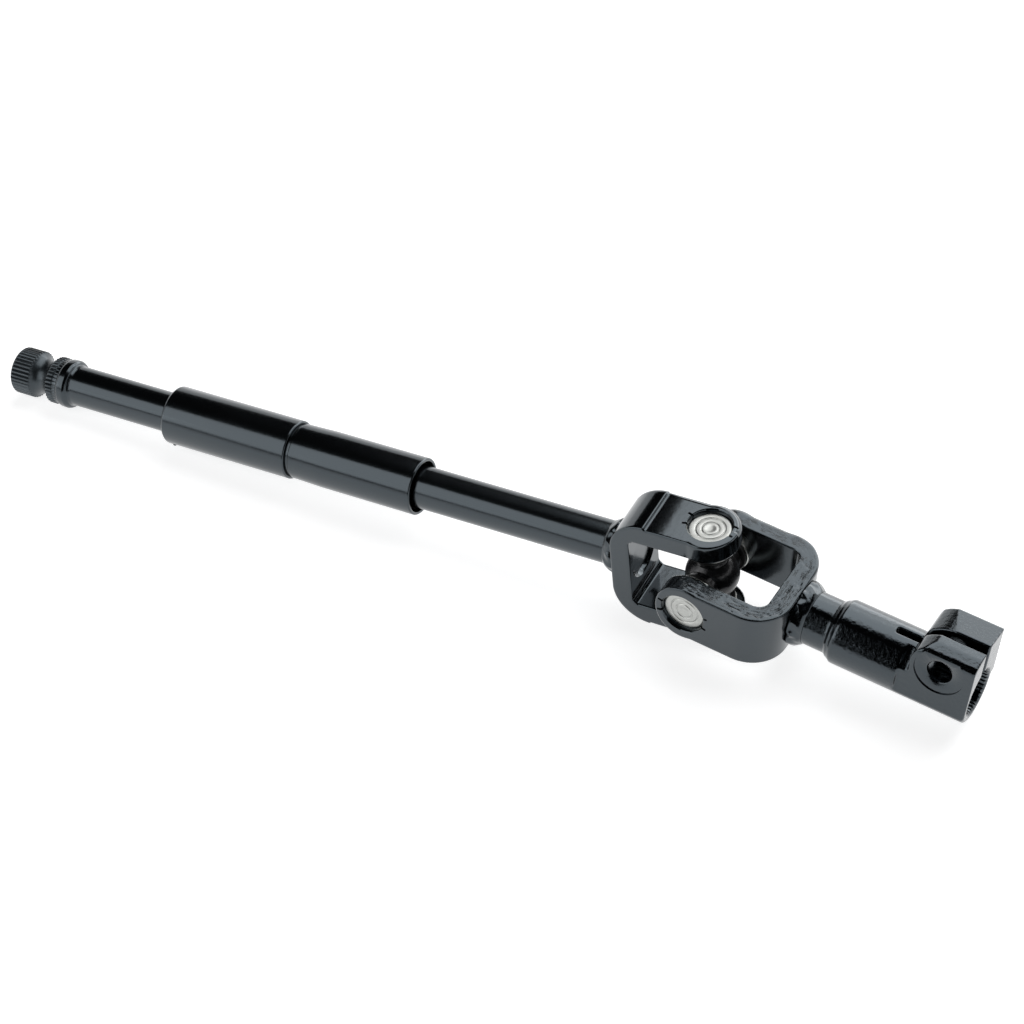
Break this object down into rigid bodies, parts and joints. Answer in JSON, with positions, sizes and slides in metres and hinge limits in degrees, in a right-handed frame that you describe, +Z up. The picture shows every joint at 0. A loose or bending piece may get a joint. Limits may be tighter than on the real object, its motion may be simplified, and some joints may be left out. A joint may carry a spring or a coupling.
{
  "type": "steering column shaft",
  "caption": "Steering column shaft with a serrated end, a sliding sleeve section, a universal joint and a pinch clamp for the steering gear.",
  "frame": {"origin": "centre of the end face of the serrated upper end", "axes": "+Z up from the surface that it lies on, +X along the shaft towards the clamp; the shaft rises by about 3.0 degrees towards the joint, because it lies on its tip and on the upper yoke"},
  "size_m": [0.3756, 0.0449, 0.0453],
  "materials": {
    "black_paint": "gloss black paint",
    "bare_steel": "drawn and ground steel",
    "needle_steel": "polished",
    "nylon": "moulded nylon",
    "seal_rubber": "matt",
    "raw_cross": "dark forged steel with ground trunnions"
  },
  "bodies": {
    "sleeve": {"upper_shaft": "black_paint", "sleeve_upper": "black_paint", "sleeve_lower": "black_paint", "guide_bush": "nylon", "dust_ring": "nylon"},
    "slider": {"lower_shaft": "black_paint", "stop_ring": "bare_steel", "upper_weld": "black_paint", "upper_yoke": "black_paint", "cup_top": "bare_steel", "cup_bottom": "bare_steel", "needles_top": "needle_steel", "needles_bottom": "needle_steel", "seal_top": "seal_rubber", "seal_bottom": "seal_rubber", "pad_top": "nylon", "pad_bottom": "nylon"},
    "cross": {"cross": "raw_cross"},
    "lower_end": {"lower_yoke": "black_paint", "lower_weld": "black_paint", "clamp_coupling": "black_paint", "cup_near": "bare_steel", "cup_far": "bare_steel", "needles_near": "needle_steel", "needles_far": "needle_steel", "seal_near": "seal_rubber", "seal_far": "seal_rubber", "pad_near": "nylon", "pad_far": "nylon"}
  },
  "joints": [
    {"name": "shaft_slide", "type": "slide", "parent": "sleeve", "child": "slider", "axis": [0.9986, 0, 0.0522], "range_m": [-0.016, 0.008]},
    {"name": "yoke_pivot", "type": "hinge", "parent": "slider", "child": "cross", "pos_m": [0.27772, 0, 0.01451], "axis": [-0.0522, 0, 0.9986], "range_deg": [-31.7, 38.3]},
    {"name": "clamp_pivot", "type": "hinge", "parent": "cross", "child": "lower_end", "pos_m": [0.27772, 0, 0.01451], "axis": [0.0575, 0.9983, 0.003], "range_deg": [-42.8, 27.2]}
  ]
}
